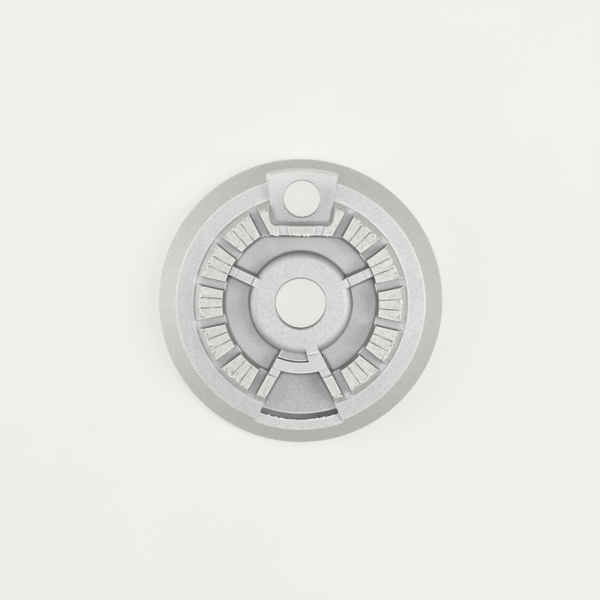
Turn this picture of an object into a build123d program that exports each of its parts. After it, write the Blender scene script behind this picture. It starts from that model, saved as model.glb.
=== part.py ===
from build123d import *
import os
from math import cos, radians, sin, sqrt, tan

# Crown of a small gas burner, one aluminium die casting, in millimetres.
# The bore axis is Z, the flat rim stands on Z = 0 and the igniter boss points towards +Y.

# Skirt, ring and toothed wall, from the rim inwards and upwards
RIM_DIAMETER = 55.3
RIM_BAND = 1.2
SKIRT_RUN = 3.55
SKIRT_RISE = 5.2
RING_WIDTH = 3.35
RING_RISE = 0.5
RING_STEP = 0.2
RING_STEP_RUN = 0.25
TOOTH_HEIGHT = 2.3
TOOTH_END_RUN = 1.2
TOOTH_LENGTH = 4.2
EDGE_ROUND = 0.3
DRAFT_ANGLE = 9.0

# Gas pocket, hub and bore
POCKET_DEPTH = 3.4
HUB_DIAMETER = 19.2
HUB_DROP = 0.1
HUB_ROUND = 1.5
FOOT_ROUND = 0.3
BORE_DIAMETER = 9.7
BORE_LENGTH = 3.6
BORE_CHAMFER = 0.25

# Underside: socket for the mixing tube, and the hollow between its collar and the skirt
SOCKET_DIAMETER = 14.4
COLLAR_WALL = 2.2
COLLAR_LIFT = 0.5
FLOOR_THICKNESS = 2.0
SKIRT_WALL = 2.0
CORE_DEPTH = 1.1
CORE_MARGIN = 1.0

# Flame slots, and the fine grooves that part each tooth in three
SLOT_WIDTH = 1.5
SLOT_DRAFT = 5.0
SLOT_PITCH = 24.8
SLOTS_PER_SIDE = 6
GROOVE_WIDTH = 0.28
GROOVES_PER_TOOTH = 2

# Webs that tie the hub to the teeth: a stub on the hub, then two low steps with a joint line at each
WEB_WIDTH = 1.7
WEB_DRAFT = 8.0
STUB_REACH = 0.4
WEB_DROP = 0.3
WEB_STEP = 0.25
WEB_STEP_RADIUS = 13.4

# Stability chamber opposite the boss, fed from one pocket over a shelf and a low arc rib
RIB_WIDTH = 1.8
RIB_SETBACK = 0.1
ARC_RIB_WIDTH = 1.95
CHAMBER_DEPTH = 3.5
AIR_SLOT_WIDTH = 1.25
AIR_SLOT_CORNER = 0.4
LIP_WIDTH = 1.9
SHELF_DROP = 0.6
SHELF_GAP = 0.3
BRIDGE_WIDTH = 2.2
BRIDGE_TURN = 14.4

# Igniter boss, and the wall with two shallow pilot slots behind it
IGNITER_OFFSET = 20.1
IGNITER_HOLE_DIAMETER = 7.1
IGNITER_HOLE_CHAMFER = 0.2
IGNITER_SINK_ANGLE = 90.0
BOSS_RISE = 1.5
BOSS_REACH_IN = 4.6
BOSS_RIM_GAP = 1.8
BOSS_INNER_WIDTH = 10.8
BOSS_FLARE = 10.0
BOSS_CORNER = 1.1
BOSS_OUTER_CORNER = 0.8
BOSS_ROUND = 0.7
BOSS_PAD = 1.1
BOSS_DRAFT = 3.0
BOSS_MOAT = 0.15
BOSS_MOAT_DEPTH = 0.7
BOSS_MOAT_DRAFT = 20.0
IGNITER_WALL = 2.1
PILOT_WIDTH = 1.7
PILOT_DEPTH = 0.3
PILOT_TURN = 13.8

# How far an added block is buried in the casting, and how far a cut runs clear of it
BURY = 0.4
CLEAR = 1.0

# Heights that follow
draft = tan(radians(DRAFT_ANGLE))
ring_outer_z = RIM_BAND + SKIRT_RISE
ring_inner_z = ring_outer_z + RING_RISE
slot_z = ring_inner_z - RING_STEP
top_z = slot_z + TOOTH_HEIGHT
hub_z = top_z - HUB_DROP
web_z = hub_z - WEB_DROP
web_low_z = web_z - WEB_STEP
shelf_z = web_z - SHELF_DROP
pocket_z = top_z - POCKET_DEPTH
chamber_z = top_z - CHAMBER_DEPTH
boss_z = slot_z + BOSS_RISE
boss_moat_z = boss_z - BOSS_MOAT_DEPTH
socket_z = hub_z - BORE_LENGTH
ceiling_z = min(pocket_z, chamber_z) - FLOOR_THICKNESS
boss_base_z = ceiling_z - BOSS_PAD
base_z = pocket_z - BURY

# Radii that follow
rim_r = RIM_DIAMETER / 2
ring_outer_r = rim_r - SKIRT_RUN
ring_inner_r = ring_outer_r - RING_WIDTH
tooth_foot_r = ring_inner_r - RING_STEP_RUN
land_outer_r = tooth_foot_r - TOOTH_END_RUN
land_inner_r = land_outer_r - TOOTH_LENGTH
pocket_outer_r = land_inner_r - POCKET_DEPTH * draft
hub_r = HUB_DIAMETER / 2
hub_foot_r = hub_r + (hub_z - pocket_z) * draft
hub_flat_r = hub_r - HUB_ROUND
stub_r = hub_r + STUB_REACH
web_end_r = land_inner_r - (top_z - web_low_z) * draft
arc_rib_inner_r = WEB_STEP_RADIUS - ARC_RIB_WIDTH
bore_r = BORE_DIAMETER / 2
socket_r = SOCKET_DIAMETER / 2
collar_r = socket_r + COLLAR_WALL
skirt_slope = SKIRT_RUN / SKIRT_RISE
skirt_inner_r = rim_r - SKIRT_WALL
skirt_ceiling_r = skirt_inner_r - (ceiling_z - RIM_BAND) * skirt_slope
lip_outer_r = ring_outer_r + (ring_outer_z - chamber_z) * skirt_slope
air_slot_outer_r = lip_outer_r - LIP_WIDTH
air_slot_inner_r = air_slot_outer_r - AIR_SLOT_WIDTH
boss_outer_r = rim_r - BOSS_RIM_GAP

# Angles about the axis, in degrees from +X towards +Y
side_slots = [SLOT_PITCH * (i - (SLOTS_PER_SIDE - 1) / 2) for i in range(SLOTS_PER_SIDE)]
slot_angles = side_slots + [180 - angle for angle in side_slots]
side_teeth = [(low + high) / 2 for low, high in zip(side_slots, side_slots[1:])]
tooth_angles = side_teeth + [180 - angle for angle in side_teeth]
groove_pitch = SLOT_PITCH / (GROOVES_PER_TOOTH + 2)
groove_turns = [groove_pitch * (i - (GROOVES_PER_TOOTH - 1) / 2) for i in range(GROOVES_PER_TOOTH)]
groove_angles = [tooth + turn for tooth in tooth_angles for turn in groove_turns]
web_angles = [SLOT_PITCH, 180 - SLOT_PITCH]
bridge_angle = -90 + BRIDGE_TURN
pilot_angles = [90 - PILOT_TURN, 90 + PILOT_TURN]
wedge_half_angle = 90 - side_slots[-1]

# Lines in plan that follow
slot_half_width = SLOT_WIDTH / 2 + TOOTH_HEIGHT * tan(radians(SLOT_DRAFT))
rib_outer_line = slot_half_width + RIB_SETBACK
chamber_line = slot_half_width + RIB_WIDTH
chamber_floor_line = chamber_line + CHAMBER_DEPTH * draft
boss_inner_y = IGNITER_OFFSET - BOSS_REACH_IN
igniter_wall_y = boss_inner_y - BOSS_MOAT - IGNITER_WALL


def radial_plane(angle, radius):
    """Upright plane across a radius: X runs sideways, Y is height and the normal points outwards."""
    out = Vector(cos(radians(angle)), sin(radians(angle)), 0)
    return Plane(origin=out * radius, x_dir=Vector(0, 0, 1).cross(out), z_dir=out)


def axial_plane(angle):
    """Upright plane through the axis: X runs outwards at this angle and Y is height."""
    out = Vector(cos(radians(angle)), sin(radians(angle)), 0)
    return Plane(origin=(0, 0, 0), x_dir=out, z_dir=out.cross(Vector(0, 0, 1)))


def wedge(line):
    """Wedge about -Y with sides parallel to the last slots, this far from their middle lines."""
    reach = RIM_DIAMETER
    apex_y = -line / sin(radians(wedge_half_angle))
    side = reach * tan(radians(wedge_half_angle))
    Polygon((0, apex_y), (-side, apex_y - reach), (side, apex_y - reach), align=None)


def boss_outline(margin):
    """Plan of the boss, grown by a margin, with its outer edge an arc about the axis."""
    flare = radians(BOSS_FLARE)
    inner_y = boss_inner_y - margin
    inner_half = BOSS_INNER_WIDTH / 2 + margin / cos(flare) - margin * tan(flare)
    outer_half = inner_half + (rim_r - inner_y) * tan(flare)
    Polygon(
        (-inner_half, inner_y),
        (inner_half, inner_y),
        (outer_half, rim_r),
        (-outer_half, rim_r),
        align=None,
    )
    Circle(boss_outer_r + margin, mode=Mode.INTERSECT)


def groove_section():
    """Section of a fine V groove: a square on its corner, half of it below the surface."""
    Rectangle(GROOVE_WIDTH / sqrt(2), GROOVE_WIDTH / sqrt(2), rotation=45)


# Igniter boss by itself: a drafted block with a rounded top edge
boss_height = boss_z - boss_base_z
boss_spread = boss_height * tan(radians(BOSS_DRAFT))
with BuildPart() as boss:
    with BuildSketch(Plane.XY.offset(boss_base_z)) as boss_plan:
        boss_outline(boss_spread)
        fillet(boss_plan.vertices().group_by(Axis.Y)[0], BOSS_CORNER + boss_spread)
        fillet(boss_plan.vertices().group_by(Axis.Y)[-1], BOSS_OUTER_CORNER + boss_spread)
    extrude(amount=boss_height, taper=BOSS_DRAFT)
    fillet(boss.faces().sort_by(Axis.Z)[-1].edges(), BOSS_ROUND)

with BuildPart() as crown:
    # Turned section: skirt, ring, toothed wall, ring-shaped pocket, hub, bore and underside
    corners = [
        ((rim_r, 0), 0),
        ((rim_r, RIM_BAND), 0),
        ((ring_outer_r, ring_outer_z), EDGE_ROUND),
        ((ring_inner_r, ring_inner_z), 0),
        ((tooth_foot_r, slot_z), 0),
        ((land_outer_r, top_z), 0),
        ((land_inner_r, top_z), 0),
        ((pocket_outer_r, pocket_z), 0),
        ((hub_foot_r, pocket_z), FOOT_ROUND),
        ((hub_r, hub_z), HUB_ROUND),
        ((bore_r + BORE_CHAMFER, hub_z), 0),
        ((bore_r, hub_z - BORE_CHAMFER), 0),
        ((bore_r, socket_z), 0),
        ((socket_r, socket_z), 0),
        ((socket_r, COLLAR_LIFT), 0),
        ((collar_r, COLLAR_LIFT), 0),
        ((collar_r, ceiling_z), 0),
        ((skirt_ceiling_r, ceiling_z), 0),
        ((skirt_inner_r, RIM_BAND), 0),
        ((skirt_inner_r, 0), 0),
    ]
    with BuildSketch(Plane.XZ):
        with BuildLine():
            FilletPolyline(
                *[point for point, _ in corners],
                radius=[size for _, size in corners],
                close=True,
            )
        make_face()
    revolve(axis=Axis.Z)

    # Core under the teeth on each side, which keeps the casting's walls even
    core_span = side_slots[-1] - side_slots[0]
    core_inner_r = pocket_outer_r + CORE_MARGIN
    core_outer_r = air_slot_inner_r
    for start in (side_slots[0], 180 + side_slots[0]):
        with BuildSketch(axial_plane(start)):
            with BuildLine():
                Polyline(
                    (core_inner_r, ceiling_z - BURY),
                    (core_outer_r, ceiling_z - BURY),
                    (core_outer_r - CORE_DEPTH * draft, ceiling_z + CORE_DEPTH),
                    (core_inner_r + CORE_DEPTH * draft, ceiling_z + CORE_DEPTH),
                    close=True,
                )
            make_face()
        revolve(axis=Axis.Z, revolution_arc=core_span, mode=Mode.SUBTRACT)

    # Webs in three steps, and the bridge from the hub to the arc rib
    web_blocks = [
        (web_angles, WEB_WIDTH, stub_r, hub_z),
        (web_angles, WEB_WIDTH, WEB_STEP_RADIUS, web_z),
        (web_angles, WEB_WIDTH, land_inner_r + BURY, web_low_z),
        ([bridge_angle], BRIDGE_WIDTH, stub_r, hub_z),
        ([bridge_angle], BRIDGE_WIDTH, arc_rib_inner_r + BURY, web_z),
    ]
    for angles, width, end, height in web_blocks:
        with BuildSketch(*[radial_plane(angle, hub_flat_r) for angle in angles]):
            with Locations((0, base_z)):
                Trapezoid(
                    width + 2 * (height - base_z) * tan(radians(WEB_DRAFT)),
                    height - base_z,
                    90 - WEB_DRAFT,
                    align=(Align.CENTER, Align.MIN),
                )
        extrude(amount=end - hub_flat_r)

    # Ribs beside the chamber with the arc rib between them, a little lower outside the web step
    rib_blocks = [(land_inner_r + BURY, web_low_z), (WEB_STEP_RADIUS, web_z)]
    for outer, height in rib_blocks:
        spread = (height - base_z) * draft
        with BuildSketch(Plane.XY.offset(base_z)):
            wedge(rib_outer_line - spread)
            Circle(outer + spread, mode=Mode.INTERSECT)
            Circle(arc_rib_inner_r - spread, mode=Mode.SUBTRACT)
        extrude(amount=height - base_z, taper=DRAFT_ANGLE)

    # Joint lines across the webs, the bridge and the ribs
    joint_lines = [
        ([*web_angles, bridge_angle], stub_r, web_z),
        (web_angles, WEB_STEP_RADIUS, web_z),
        (web_angles, web_end_r, web_low_z),
    ]
    for angles, radius, height in joint_lines:
        with BuildSketch(*[axial_plane(angle) for angle in angles]):
            with Locations((radius, height)):
                groove_section()
        extrude(amount=(WEB_WIDTH + BURY) / 2, both=True, mode=Mode.SUBTRACT)
    rib_sides = [(side_slots[0], 1), (180 - side_slots[0], -1)]
    for angle, side in rib_sides:
        with BuildSketch(axial_plane(angle).offset(side * slot_half_width)):
            with Locations((WEB_STEP_RADIUS, web_z), (web_end_r, web_low_z)):
                groove_section()
        extrude(amount=side * RIB_WIDTH, mode=Mode.SUBTRACT)

    # Behind the arc rib, a shelf from the left pocket to the bridge and a solid corner on its other side
    shelf_blocks = [
        (Align.MIN, arc_rib_inner_r - SHELF_GAP, shelf_z),
        (Align.MAX, arc_rib_inner_r + BURY, web_z),
    ]
    for other_side, outer, height in shelf_blocks:
        with BuildSketch(Plane.XY.offset(base_z)):
            wedge(rib_outer_line)
            Circle(outer, mode=Mode.INTERSECT)
            Circle(hub_r, mode=Mode.SUBTRACT)
            Rectangle(
                rim_r, rim_r, rotation=bridge_angle, align=(Align.MIN, other_side), mode=Mode.SUBTRACT
            )
        extrude(amount=height - base_z)

    # Straight wall behind the boss, which closes the upper pocket
    wall_height = top_z - base_z
    with BuildSketch(Plane.XY.offset(base_z)):
        Circle(land_inner_r + TOOTH_LENGTH / 2)
        with Locations((0, igniter_wall_y - wall_height * draft)):
            Rectangle(
                RIM_DIAMETER, rim_r, align=(Align.CENTER, Align.MIN), mode=Mode.INTERSECT
            )
    extrude(amount=wall_height, taper=DRAFT_ANGLE)

    # Flame slots from the pockets to the ring
    slot_start_r = WEB_STEP_RADIUS
    slot_end_r = ring_inner_r - RING_STEP_RUN / 2
    with BuildSketch(*[radial_plane(angle, slot_start_r) for angle in slot_angles]):
        with Locations((0, slot_z)):
            Trapezoid(
                SLOT_WIDTH + 2 * (TOOTH_HEIGHT + CLEAR) * tan(radians(SLOT_DRAFT)),
                TOOTH_HEIGHT + CLEAR,
                90 + SLOT_DRAFT,
                align=(Align.CENTER, Align.MIN),
            )
    extrude(amount=slot_end_r - slot_start_r, mode=Mode.SUBTRACT)

    # Shallow pilot slots in the wall behind the boss
    with BuildSketch(*[radial_plane(angle, slot_start_r - CLEAR) for angle in pilot_angles]):
        with Locations((0, top_z - PILOT_DEPTH)):
            Rectangle(PILOT_WIDTH, PILOT_DEPTH + CLEAR, align=(Align.CENTER, Align.MIN))
    extrude(amount=land_outer_r - slot_start_r + CLEAR, mode=Mode.SUBTRACT)

    # Fine grooves across the tooth tops
    groove_start_r = land_inner_r - BURY
    with BuildSketch(*[radial_plane(angle, groove_start_r) for angle in groove_angles]):
        with Locations((0, top_z)):
            groove_section()
    extrude(amount=TOOTH_LENGTH + 2 * BURY, mode=Mode.SUBTRACT)

    # Chamber, open outwards over the lip, and the air slot between its floor and the lip
    with BuildSketch(Plane.XY.offset(top_z)):
        wedge(chamber_line)
        Circle(WEB_STEP_RADIUS, mode=Mode.SUBTRACT)
    extrude(amount=-CHAMBER_DEPTH, taper=DRAFT_ANGLE, mode=Mode.SUBTRACT)
    with BuildSketch(Plane.XY.offset(chamber_z)) as air_slot:
        wedge(chamber_floor_line)
        Circle(air_slot_outer_r, mode=Mode.INTERSECT)
        Circle(air_slot_inner_r, mode=Mode.SUBTRACT)
        fillet(air_slot.vertices(), AIR_SLOT_CORNER)
    extrude(amount=-FLOOR_THICKNESS - CLEAR, mode=Mode.SUBTRACT)

    # Igniter boss standing in a narrow moat that widens upwards
    with BuildSketch(Plane.XY.offset(boss_moat_z)) as boss_moat:
        boss_outline(BOSS_MOAT)
        fillet(boss_moat.vertices().group_by(Axis.Y)[0], BOSS_CORNER)
    extrude(amount=top_z - boss_moat_z + CLEAR, taper=-BOSS_MOAT_DRAFT, mode=Mode.SUBTRACT)
    add(boss.part)
    igniter_r = IGNITER_HOLE_DIAMETER / 2
    with Locations((0, IGNITER_OFFSET, boss_z)):
        CounterSinkHole(
            igniter_r, igniter_r + IGNITER_HOLE_CHAMFER, counter_sink_angle=IGNITER_SINK_ANGLE
        )

crown.part.label = "burner_crown"
os.makedirs("parts", exist_ok=True)
export_step(crown.part, "parts/burner_crown.step")
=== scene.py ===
import math
import random

import bmesh
import bpy
from mathutils import Matrix, Vector


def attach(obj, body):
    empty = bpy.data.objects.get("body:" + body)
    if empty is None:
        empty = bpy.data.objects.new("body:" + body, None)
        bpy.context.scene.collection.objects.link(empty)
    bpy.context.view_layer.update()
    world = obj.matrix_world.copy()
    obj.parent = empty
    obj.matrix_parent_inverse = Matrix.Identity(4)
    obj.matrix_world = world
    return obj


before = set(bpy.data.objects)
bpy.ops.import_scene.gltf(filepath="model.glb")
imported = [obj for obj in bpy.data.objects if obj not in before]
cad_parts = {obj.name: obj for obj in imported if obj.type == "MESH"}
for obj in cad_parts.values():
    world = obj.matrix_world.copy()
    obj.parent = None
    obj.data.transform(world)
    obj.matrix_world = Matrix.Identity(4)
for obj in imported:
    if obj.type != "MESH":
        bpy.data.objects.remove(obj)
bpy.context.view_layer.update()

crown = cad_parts["burner_crown"]

MM = 0.001
MM_IN_METRE = 1000


# Camera: a long lens almost straight above, leaning a little towards the igniter boss
PICTURE_WIDTH = 117.4 * MM
CAMERA_DISTANCE = 500 * MM
CAMERA_LEAN = math.radians(3.8)
CAMERA_AIM = (-0.14 * MM, 0.15 * MM, 0)
CROWN_TURN = math.radians(0.65)
SENSOR = 36.0
CLIP_NEAR, CLIP_FAR = 0.01, 10

# Soft panels round the crown: way round and height in degrees, and power in watts
SKY_LEVEL = 0.25
PANEL_SIZE = 0.3
PANEL_DISTANCE = 0.6
PANELS = (
    ("right panel", 0, 44, 1.62),
    ("top panel", 0, 90, 0.95),
    ("low left panel", 180, 18, 1.1),
    ("back left panel", 135, 42, 0.6),
)

# Pale floor
FLOOR_SIZE = 3.0
FLOOR_PAINT = (0.86, 0.86, 0.83), (0.89, 0.89, 0.86)
FLOOR_MOTTLE = 40, 3
FLOOR_ROUGHNESS = 0.9
FLOOR_GLOW = 0.5
HOLE_PAINTED_LIGHT = 0.85

# Colours of the cast skin, each from its darker to its lighter clouds; the slot, pocket and chamber
# floors, the walls and the shelf are darkened with painted shade
FACE = (0.72, 0.725, 0.71), (0.76, 0.765, 0.75)
SKIRT = (0.715, 0.715, 0.68), (0.765, 0.765, 0.73)
SLOT_FLOOR_SHADE = (0.65, 0.655, 0.64), (0.69, 0.695, 0.68)
POCKET_FLOOR_SHADE = (0.67, 0.675, 0.66), (0.715, 0.72, 0.705)
CHAMBER_FLOOR_SHADE = (0.59, 0.595, 0.58), (0.64, 0.645, 0.63)
WALL_SHADE = (0.34, 0.345, 0.33), (0.40, 0.405, 0.39)
SHELF_SHADE = (0.56, 0.565, 0.55)

# Colours of wear, dirt, painted light and painted shade; the boss top goes from painted light to
# painted shade, outer edges get a painted highlight, corners and the air slot get painted shade, and
# the grooves get dirt with painted shade
BOSS_LIGHT_AND_SHADE = (0.80, 0.805, 0.79), (0.62, 0.625, 0.61)
TRIMMED_TOP = (0.62, 0.625, 0.60), (0.75, 0.755, 0.73)
EDGE_HIGHLIGHT = (0.93, 0.935, 0.92)
GROOVE_DIRT_AND_SHADE = (0.36, 0.36, 0.35)
PIT = (0.28, 0.28, 0.27)
CORNER_SHADE_COLOUR = (0.26, 0.26, 0.25)
AIR_SLOT_SHADE = (0.13, 0.13, 0.125)
LIGHT_SPECK = (1, 1, 1)
DARK_SPECK = (0.2, 0.2, 0.2)

# Blasted grain: each noise has a scale per metre and a detail
FINE_GRAIN = 5000, 1
COARSE_GRAIN = 1600, 2
CLOUDS = 170, 3
FINE_SHARE = 0.8
COARSE_SHARE = 0.2
SPECKLE_EDGES = 0.32, 0.68
SPECK_SHARE = 0.16
GRAIN_STRENGTH = 0.35
GRAIN_DEPTH = 0.04 * MM
CAST_ROUGHNESS = 0.72
TOP_ROUGHNESS = 0.66
CLOUD_EDGES = 0.3, 0.7
CLOUD_ROUGHNESS = 0.03

# Trimmed tooth tops: each noise has a scale per millimetre and a detail
TOP_PATCHES = 1.5, 4
PATCH_EDGES = 0.34, 0.62
PATCH_SHARE = 0.65
TOP_STREAKS = 2.6, 2
STREAK_SHRINK = 0.2
STREAK_EDGES = 0.36, 0.64
STREAK_SHARE = 0.35
TOP_PITS = 2.4, 2
PIT_EDGES = 0.68, 0.74
TORN_ENDS = 18.3, 19.3
TORN_ENDS_PITS = 0.13
TOP_WEAR = 0.45, 2
GROOVE_WEAR_EDGES = 0.36, 0.62
DEEP_GROOVE, WORN_GROOVE = 0.95, 0.12

# The boss top is painted light outwards and painted shade inwards and a little to the right
BOSS_SHADE_SLANT = 0.33
BOSS_SHADE_EDGES = -25.3, -18.7

# Painted shade in tight corners, mostly in the pocket; the walls of the moat round the boss get less
# painted shade
CORNER_REACH = 0.7 * MM
CORNER_OPENNESS = 0.4, 0.85
CORNER_SHADE_SHARE = 0.8
CORNER_SHADE_RADIUS = 15.0, 16.5
OUTER_CORNER_SHADE = 0.15
MOAT_CORNER_SHADE = 0.72
MOAT_WALL_SHADE_CUT = 0.75

# Painted highlights on outer edges
EDGE_REACH = 0.35 * MM
EDGE_OPENNESS = 0.72, 0.95
EDGE_HIGHLIGHT_SHARE = 0.75
EDGE_HIGHLIGHT_CLOUDS = 0.3, 0.6
LEAST_EDGE_HIGHLIGHT = 0.5
EDGE_HIGHLIGHT_ZONES = (("Inner ring rim", 0.5), ("Outer ring rim", 0.6), ("Boss end", 0.8))
OCCLUSION_SAMPLES = 8

# Zones of the crown, each over or under some measures, with the start and end of every soft limit.
# Lengths are in millimetres, and the two sides are lengths round the toothed wall.
WALL_RADIUS = 17.3
BOSS_ROUND = WALL_RADIUS * math.pi / 2
BESIDE_BOSS = {"Boss side under": (6.6, 7.2)}
RING_HEIGHT = {"Height over": (6.1, 6.25), "Height under": (7.0, 7.1)}
ZONES = {
    "Skirt": {"Radius over": (24.0, 24.25), "Height under": (6.5, 7.2), "Upward under": (0.62, 0.85)},
    "Inner ring rim": {"Radius over": (20.66, 20.78), "Radius under": (20.95, 21.15), **RING_HEIGHT},
    "Outer ring rim": {"Radius over": (23.75, 23.92), "Radius under": (24.1, 24.2), **RING_HEIGHT},
    "Boss top": {"Height over": (8.05, 8.15), "Height under": (8.25, 8.3), **BESIDE_BOSS},
    "Boss end": {"Radius over": (25.3, 25.6), "Height over": (6.4, 7.9), **BESIDE_BOSS},
    "Boss moat": {"Radius over": (14.6, 14.9), **BESIDE_BOSS},
    "Slots": {"Radius under": (19.4, 19.7), "Height under": (6.75, 6.95)},
    "Shelf": {"Radius under": (12.0, 12.2), "Height over": (7.9, 7.96), "Height under": (8.04, 8.07)},
    "Low floors": {"Radius under": (22.7, 22.9), "Height under": (5.7, 6.6)},
    "Pocket": {"Height over": (5.53, 5.57)},
    "Upright": {"Upward over": (-0.6, -0.3), "Upward under": (0.15, 0.42)},
    "Inside": {"Radius under": (20.5, 20.8)},
    "Air slot": {"Radius over": (21.2, 21.4), "Radius under": (23.0, 23.3), "Height over": (3.55, 3.7),
                 "Height under": (5.3, 5.46), "Air slot side under": (6.0, 6.4)},
}
TOOTH_TOPS = {"Height over": (8.955, 8.985)}
GROOVE_DEPTHS = {"Height over": (8.8, 8.84)}
TOOTH_LANDS = {"Radius over": (14.6, 14.9), "Radius under": (19.2, 19.3)}
OPEN_FLOOR = {"Radius over": (27.4, 27.8)}
UNDER_BORE = {"Radius under": (6.0, 7.5)}
UNDER_IGNITER_HOLE = {"Radius over": (14.0, 15.0), "Radius under": (25.5, 26.5),
                      "Boss side under": (4.5, 6.0)}

# Flash left by the trimming tool: tooth ends, the igniter wall and the lip of the air slot
FLASH_SEED = 11
FLASH_STEP = 0.22 * MM
FLASH_REACH = 0.38 * MM
FLASH_UNEVENNESS = 2
FLASH_THICKNESS = 0.12 * MM
FLASH_BURY = 0.1 * MM
FLASH_SINK = 0.1
FLASH_DROOP = 0.3
TOOTH_END_RADIUS = 19.3 * MM
TOP_HEIGHT = 9 * MM
TOOTH_ENDS = (
    (-9, 9), (16, 34), (40.5, 59), (65.3, 70), (110, 114.7), (121.3, 139.5), (146, 164.3),
    (171, 189), (195.8, 214), (220.5, 238.7), (245.3, 250), (290, 294.7), (301.3, 319.5), (326, 344.3),
)
IGNITER_WALL_Y = 13.25 * MM
IGNITER_WALL_RUNS = ((-5.8, -4.3), (-2.2, 2.2), (4.3, 5.8))
LIP_RADIUS = 22.81 * MM
LIP_HEIGHT = 5.5 * MM
LIP_RUN = (252, 288)
LIP_OUTWARD = -0.6

NODE_SPACING = 220


# Adds and joins the nodes of one shader tree
class Nodes:
    def __init__(self, tree):
        self.tree = tree

    def add(self, kind, **settings):
        made = self.tree.nodes.new(kind)
        for name, value in settings.items():
            setattr(made, name, value)
        return made

    def use(self, group):
        return self.add("ShaderNodeGroup", node_tree=group).outputs

    def feed(self, socket, value):
        if isinstance(value, bpy.types.NodeSocket):
            self.tree.links.new(value, socket)
        elif isinstance(value, tuple):
            socket.default_value = (*value, 1)
        else:
            socket.default_value = value

    def math(self, operation, first, second=0, clamp=False):
        made = self.add("ShaderNodeMath", operation=operation, use_clamp=clamp)
        self.feed(made.inputs[0], first)
        self.feed(made.inputs[1], second)
        return made.outputs[0]

    def product(self, first, *others):
        for other in others:
            first = self.math("MULTIPLY", first, other)
        return first

    # Inputs 6 and 7 and output 2 are the mix node's colours
    def blend(self, share, low, high):
        made = self.add("ShaderNodeMix", data_type="RGBA")
        self.feed(made.inputs["Factor"], share)
        self.feed(made.inputs[6], low)
        self.feed(made.inputs[7], high)
        return made.outputs[2]

    def fade(self, value, edges, low, high):
        made = self.add("ShaderNodeMapRange", interpolation_type="SMOOTHSTEP")
        for name, given in (("Value", value), ("From Min", edges[0]), ("From Max", edges[1]),
                            ("To Min", low), ("To Max", high)):
            self.feed(made.inputs[name], given)
        return made.outputs["Result"]

    def noise(self, place, scale, detail):
        made = self.add("ShaderNodeTexNoise")
        for name, given in (("Vector", place), ("Scale", scale), ("Detail", detail)):
            self.feed(made.inputs[name], given)
        return made.outputs["Fac"]

    def point(self, x, y):
        made = self.add("ShaderNodeCombineXYZ")
        self.feed(made.inputs[0], x)
        self.feed(made.inputs[1], y)
        return made.outputs[0]

    # How far a point lies within all the limits of a zone
    def zone(self, place, limits):
        fades = []
        for limit, edges in limits.items():
            measure, side = limit.rsplit(" ", 1)
            low, high = (0, 1) if side == "over" else (1, 0)
            fades.append(self.fade(place[measure], edges, low, high))
        return self.product(*fades)

    # Columns from right to left, each node left of all the nodes that it feeds
    def lay_out(self):
        column = {made.name: 0 for made in self.tree.nodes}
        for _ in self.tree.nodes:
            for link in self.tree.links:
                giver, taker = link.from_node.name, link.to_node.name
                column[giver] = max(column[giver], column[taker] + 1)
        filled = {}
        for made in self.tree.nodes:
            across = column[made.name]
            made.location = (-across * NODE_SPACING, -filled.get(across, 0) * NODE_SPACING)
            filled[across] = filled.get(across, 0) + 1


def new_group(name):
    return Nodes(bpy.data.node_groups.new(name, "ShaderNodeTree"))


def give_out(nodes, values):
    for label in values:
        nodes.tree.interface.new_socket(label, in_out="OUTPUT", socket_type="NodeSocketFloat")
    out = nodes.add("NodeGroupOutput")
    for label, value in values.items():
        nodes.feed(out.inputs[label], value)
    nodes.lay_out()
    return nodes.tree


# Where a point lies on the crown, in millimetres, and how far its face looks upwards
def make_crown_place():
    nodes = new_group("crown place")
    place = nodes.add("ShaderNodeTexCoord").outputs
    parts = nodes.add("ShaderNodeSeparateXYZ")
    facing = nodes.add("ShaderNodeSeparateXYZ")
    nodes.feed(parts.inputs[0], place["Object"])
    nodes.feed(facing.inputs[0], place["Normal"])
    x, y, z = parts.outputs
    squares = nodes.math("ADD", nodes.product(x, x), nodes.product(y, y))
    turn = nodes.product(nodes.math("ARCTAN2", y, x), WALL_RADIUS)
    return give_out(nodes, {
        "Radius": nodes.product(nodes.math("SQRT", squares), MM_IN_METRE),
        "Round": turn,
        "Height": nodes.product(z, MM_IN_METRE),
        "Upward": facing.outputs[2],
        "Boss side": nodes.math("ABSOLUTE", nodes.math("SUBTRACT", turn, BOSS_ROUND)),
        "Air slot side": nodes.math("ABSOLUTE", nodes.math("ADD", turn, BOSS_ROUND)),
    })


def make_crown_zones(crown_place):
    nodes = new_group("crown zones")
    place = nodes.use(crown_place)
    return give_out(nodes, {label: nodes.zone(place, limits) for label, limits in ZONES.items()})


# Blasted skin: fine pits, a light and dark speckle and a faint cloudiness
def make_blasted_grain():
    nodes = new_group("blasted grain")
    place = nodes.add("ShaderNodeTexCoord").outputs["Object"]
    fine = nodes.product(nodes.noise(place, *FINE_GRAIN), FINE_SHARE)
    coarse = nodes.product(nodes.noise(place, *COARSE_GRAIN), COARSE_SHARE)
    relief = nodes.math("ADD", fine, coarse)
    return give_out(nodes, {
        "Relief": relief,
        "Speckle": nodes.fade(relief, SPECKLE_EDGES, 0, 1),
        "Cloud": nodes.noise(place, *CLOUDS),
    })


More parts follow.
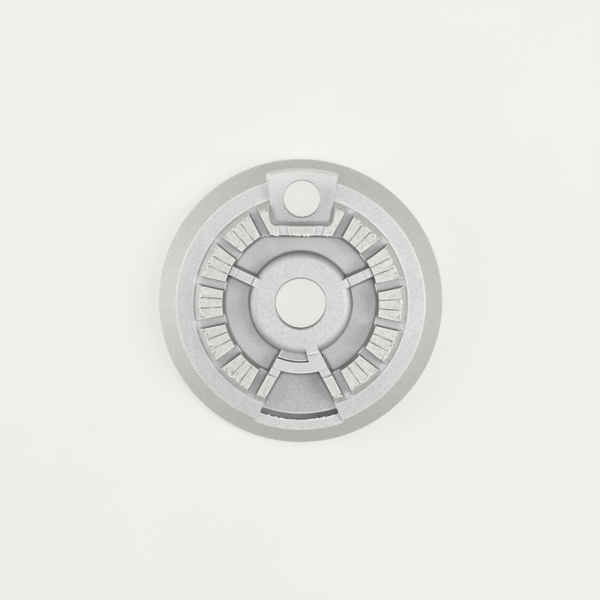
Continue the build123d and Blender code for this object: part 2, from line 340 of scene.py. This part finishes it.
# Trimmed tooth tops: where they are, their patches and streaks, dark pits, and the fine grooves
def make_trimmed_tops(crown_place):
    nodes = new_group("trimmed tops")
    place = nodes.use(crown_place)
    radius, turn = place["Radius"], place["Round"]
    flat = nodes.point(radius, turn)
    drawn = nodes.point(nodes.product(radius, STREAK_SHRINK), turn)
    mask = nodes.zone(place, TOOTH_TOPS)
    patches = nodes.fade(nodes.noise(flat, *TOP_PATCHES), PATCH_EDGES, 0, PATCH_SHARE)
    streaks = nodes.fade(nodes.noise(drawn, *TOP_STREAKS), STREAK_EDGES, 0, STREAK_SHARE)
    torn = nodes.math("ADD", nodes.noise(flat, *TOP_PITS),
                      nodes.fade(radius, TORN_ENDS, 0, TORN_ENDS_PITS))
    sunk = nodes.math("SUBTRACT", nodes.zone(place, GROOVE_DEPTHS), mask, clamp=True)
    return give_out(nodes, {
        "Mask": mask,
        "Patches": nodes.math("ADD", patches, streaks),
        "Pits": nodes.fade(torn, PIT_EDGES, 0, 1),
        "Grooves": nodes.product(sunk, nodes.zone(place, TOOTH_LANDS)),
        "Wear": nodes.noise(flat, *TOP_WEAR),
    })


# Open faces are blasted bright and the skirt keeps more of the cast skin; sunk floors, the shelf and
# steep walls are darkened with painted shade
def colour_skin(nodes, place, zones, grain):
    face, skirt, slot, pocket, chamber, wall = (
        nodes.blend(grain["Cloud"], *shades)
        for shades in (FACE, SKIRT, SLOT_FLOOR_SHADE, POCKET_FLOOR_SHADE, CHAMBER_FLOOR_SHADE, WALL_SHADE))
    # The boss top is painted lighter outwards and to the left and darker inwards and to the right, as
    # painted light and shade
    past_boss = nodes.math("SUBTRACT", BOSS_ROUND, place["Round"])
    across_boss = nodes.math("SUBTRACT", nodes.product(past_boss, BOSS_SHADE_SLANT), place["Radius"])
    boss = nodes.blend(nodes.fade(across_boss, BOSS_SHADE_EDGES, 0, 1), *BOSS_LIGHT_AND_SHADE)
    low_floor = nodes.blend(zones["Pocket"], chamber, pocket)
    # Less painted wall shade in the moat round the boss
    moat_shade_cut = nodes.product(zones["Boss moat"], MOAT_WALL_SHADE_CUT)
    inside = nodes.math("SUBTRACT", zones["Inside"], moat_shade_cut, clamp=True)
    steep = nodes.product(zones["Upright"], inside)
    speckle = grain["Speckle"]
    skin = face
    # Slots, shelf, low floors and steep walls are darkened with painted shade
    for share, colour in (
            (zones["Skirt"], skirt),
            (zones["Boss top"], boss),
            (zones["Slots"], slot),
            (zones["Shelf"], SHELF_SHADE),
            (zones["Low floors"], low_floor),
            (steep, wall),
            (nodes.fade(speckle, (0.5, 1), 0, SPECK_SHARE), LIGHT_SPECK),
            (nodes.fade(speckle, (0, 0.5), SPECK_SHARE, 0), DARK_SPECK),
            # The air slot is darkened with painted shade
            (zones["Air slot"], AIR_SLOT_SHADE)):
        skin = nodes.blend(share, skin, colour)
    return skin


# Trimmed tooth tops, with dirt and painted shade in what is left of their grooves
def colour_tops(nodes, colour, tops):
    colour = nodes.blend(tops["Mask"], colour, nodes.blend(tops["Patches"], *TRIMMED_TOP))
    left = nodes.fade(tops["Wear"], GROOVE_WEAR_EDGES, DEEP_GROOVE, WORN_GROOVE)
    return nodes.blend(nodes.product(tops["Grooves"], left), colour, GROOVE_DIRT_AND_SHADE)


# Painted shade in tight corners
def shade_corners(nodes, colour, place, zones):
    corner = nodes.add("ShaderNodeAmbientOcclusion", only_local=True, samples=OCCLUSION_SAMPLES)
    nodes.feed(corner.inputs["Distance"], CORNER_REACH)
    shaded = nodes.product(nodes.fade(corner.outputs["AO"], CORNER_OPENNESS, CORNER_SHADE_SHARE, 0),
                          nodes.fade(place["Radius"], CORNER_SHADE_RADIUS, 1, OUTER_CORNER_SHADE),
                          nodes.fade(zones["Boss moat"], (0, 1), 1, MOAT_CORNER_SHADE))
    return nodes.blend(shaded, colour, CORNER_SHADE_COLOUR)


# Painted highlights on outer edges
def paint_edge_highlights(nodes, colour, zones, cloud):
    edge = nodes.add("ShaderNodeAmbientOcclusion", only_local=True, inside=True,
                     samples=OCCLUSION_SAMPLES)
    nodes.feed(edge.inputs["Distance"], EDGE_REACH)
    highlit = nodes.fade(edge.outputs["AO"], EDGE_OPENNESS, EDGE_HIGHLIGHT_SHARE, 0)
    for label, highlight_share in EDGE_HIGHLIGHT_ZONES:
        highlit = nodes.math("MAXIMUM", highlit, nodes.product(zones[label], highlight_share))
    highlit = nodes.product(highlit, nodes.fade(cloud, EDGE_HIGHLIGHT_CLOUDS, LEAST_EDGE_HIGHLIGHT, 1))
    return nodes.blend(highlit, colour, EDGE_HIGHLIGHT)


def make_blasted_aluminium(crown_place):
    material = bpy.data.materials.new("blasted aluminium")
    material.use_nodes = True
    material.node_tree.nodes.clear()
    nodes = Nodes(material.node_tree)
    out = nodes.add("ShaderNodeOutputMaterial")
    metal = nodes.add("ShaderNodeBsdfPrincipled")
    nodes.feed(out.inputs["Surface"], metal.outputs[0])
    place = nodes.use(crown_place)
    zones = nodes.use(make_crown_zones(crown_place))
    grain = nodes.use(make_blasted_grain())
    tops = nodes.use(make_trimmed_tops(crown_place))

    colour = colour_skin(nodes, place, zones, grain)
    colour = colour_tops(nodes, colour, tops)
    colour = shade_corners(nodes, colour, place, zones)
    colour = paint_edge_highlights(nodes, colour, zones, grain["Cloud"])
    colour = nodes.blend(nodes.product(tops["Pits"], tops["Mask"]), colour, PIT)
    rough = nodes.math("ADD", nodes.fade(tops["Mask"], (0, 1), CAST_ROUGHNESS, TOP_ROUGHNESS),
                       nodes.fade(grain["Cloud"], CLOUD_EDGES, -CLOUD_ROUGHNESS, CLOUD_ROUGHNESS))
    bump = nodes.add("ShaderNodeBump")
    nodes.feed(bump.inputs["Strength"], GRAIN_STRENGTH)
    nodes.feed(bump.inputs["Distance"], GRAIN_DEPTH)
    nodes.feed(bump.inputs["Height"], grain["Relief"])
    nodes.feed(metal.inputs["Base Color"], colour)
    nodes.feed(metal.inputs["Metallic"], 1.0)
    nodes.feed(metal.inputs["Roughness"], rough)
    nodes.feed(metal.inputs["Normal"], bump.outputs[0])
    nodes.lay_out()
    return material


# Points along an edge, each with the way that the flash points there
def arc_edge(radius, start, end, height, outward):
    steps = round(math.radians(end - start) * radius / FLASH_STEP)
    turns = [math.radians(start + (end - start) * i / steps) for i in range(steps + 1)]
    return [(Vector((math.cos(a) * radius, math.sin(a) * radius, height)),
             Vector((math.cos(a), math.sin(a), 0)) * outward) for a in turns]


def straight_edge(start, end, y, height):
    steps = round((end - start) * MM / FLASH_STEP)
    return [(Vector(((start + (end - start) * i / steps) * MM, y, height)), Vector((0, -1, 0)))
            for i in range(steps + 1)]


# A thin three-sided sliver along each edge, with two corners in the metal and an uneven free one
def make_flash(metal):
    draw = random.Random(FLASH_SEED)
    edges = [arc_edge(TOOTH_END_RADIUS, *run, TOP_HEIGHT, 1) for run in TOOTH_ENDS]
    edges += [straight_edge(*run, IGNITER_WALL_Y, TOP_HEIGHT) for run in IGNITER_WALL_RUNS]
    edges.append(arc_edge(LIP_RADIUS, *LIP_RUN, LIP_HEIGHT, LIP_OUTWARD))
    under = Vector((0, 0, FLASH_THICKNESS))
    points, faces = [], []
    for edge in edges:
        first = len(points)
        for point, outward in edge:
            reach = FLASH_REACH * draw.random() ** FLASH_UNEVENNESS
            buried = point - outward * FLASH_BURY
            points += [buried - under * FLASH_SINK, point + outward * reach - under * FLASH_DROOP,
                       buried - under]
        last = len(points) - 3
        for a in range(first, last, 3):
            faces += [(a, a + 1, a + 4, a + 3), (a + 1, a + 2, a + 5, a + 4), (a + 2, a, a + 3, a + 5)]
        faces += [(first, first + 2, first + 1), (last, last + 1, last + 2)]
    mesh = bpy.data.meshes.new("trim flash")
    mesh.from_pydata(points, [], faces)
    shape = bmesh.new()
    shape.from_mesh(mesh)
    bmesh.ops.recalc_face_normals(shape, faces=shape.faces)
    bmesh.ops.triangulate(shape, faces=shape.faces)
    shape.to_mesh(mesh)
    shape.free()
    mesh.materials.append(metal)
    flash = bpy.data.objects.new("trim_flash", mesh)
    bpy.context.scene.collection.objects.link(flash)
    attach(flash, "root")


def make_floor(crown_place):
    bpy.ops.mesh.primitive_plane_add(size=FLOOR_SIZE)
    floor = bpy.context.object
    floor.name = "pale_floor"
    material = bpy.data.materials.new("pale floor")
    material.use_nodes = True
    nodes = Nodes(material.node_tree)
    paint = material.node_tree.nodes["Principled BSDF"]
    out = material.node_tree.nodes["Material Output"]
    mottle = nodes.noise(nodes.add("ShaderNodeTexCoord").outputs["Object"], *FLOOR_MOTTLE)
    colour = nodes.blend(mottle, *FLOOR_PAINT)
    nodes.feed(paint.inputs["Base Color"], colour)
    nodes.feed(paint.inputs["Roughness"], FLOOR_ROUGHNESS)

    # The camera sees the floor a little brighter than it is lit, except in the shade under the crown;
    # under the bore and igniter hole a pool of painted light makes it brighter still
    place = nodes.use(crown_place)
    holes = nodes.math("MAXIMUM", nodes.zone(place, UNDER_BORE), nodes.zone(place, UNDER_IGNITER_HOLE))
    shine = nodes.math("MAXIMUM", nodes.product(nodes.zone(place, OPEN_FLOOR), FLOOR_GLOW),
                       nodes.product(holes, HOLE_PAINTED_LIGHT))
    seen = nodes.add("ShaderNodeLightPath").outputs["Is Camera Ray"]
    glow = nodes.add("ShaderNodeEmission")
    nodes.feed(glow.inputs["Color"], colour)
    shown = nodes.add("ShaderNodeMixShader")
    nodes.feed(shown.inputs[0], nodes.product(seen, shine))
    nodes.feed(shown.inputs[1], paint.outputs[0])
    nodes.feed(shown.inputs[2], glow.outputs[0])
    nodes.feed(out.inputs["Surface"], shown.outputs[0])
    nodes.lay_out()
    floor.data.materials.append(material)


def make_panel(name, round_degrees, rise_degrees, power):
    lamp = bpy.data.lights.new(name, "AREA")
    lamp.size = PANEL_SIZE
    lamp.energy = power
    panel = bpy.data.objects.new(name, lamp)
    bpy.context.scene.collection.objects.link(panel)
    turn, rise = math.radians(round_degrees), math.radians(rise_degrees)
    panel.location = Vector((math.cos(rise) * math.cos(turn), math.cos(rise) * math.sin(turn),
                             math.sin(rise))) * PANEL_DISTANCE
    panel.visible_camera = False
    panel.rotation_euler = (-panel.location).to_track_quat("-Z", "Y").to_euler()


def make_light():
    world = bpy.data.worlds.new("soft studio")
    world.use_nodes = True
    sky = world.node_tree.nodes["Background"]
    sky.inputs["Color"].default_value = (1, 1, 1, 1)
    sky.inputs["Strength"].default_value = SKY_LEVEL
    bpy.context.scene.world = world
    for panel in PANELS:
        make_panel(*panel)


def make_camera():
    lens = bpy.data.cameras.new("photo camera")
    lens.sensor_width = SENSOR
    lens.lens = SENSOR * CAMERA_DISTANCE / PICTURE_WIDTH
    lens.clip_start, lens.clip_end = CLIP_NEAR, CLIP_FAR
    camera = bpy.data.objects.new("photo camera", lens)
    bpy.context.scene.collection.objects.link(camera)
    lean = Matrix.Rotation(-CAMERA_LEAN, 4, "X")
    roll = Matrix.Rotation(CROWN_TURN, 4, "Z")
    away = Matrix.Translation((0, 0, CAMERA_DISTANCE))
    camera.matrix_world = Matrix.Translation(CAMERA_AIM) @ lean @ away @ roll
    bpy.context.scene.camera = camera


bpy.context.scene.view_settings.view_transform = "Standard"
crown_place = make_crown_place()
crown.data.materials.clear()
blasted_aluminium = make_blasted_aluminium(crown_place)
crown.data.materials.append(blasted_aluminium)
make_flash(blasted_aluminium)
make_floor(crown_place)
make_light()
make_camera()
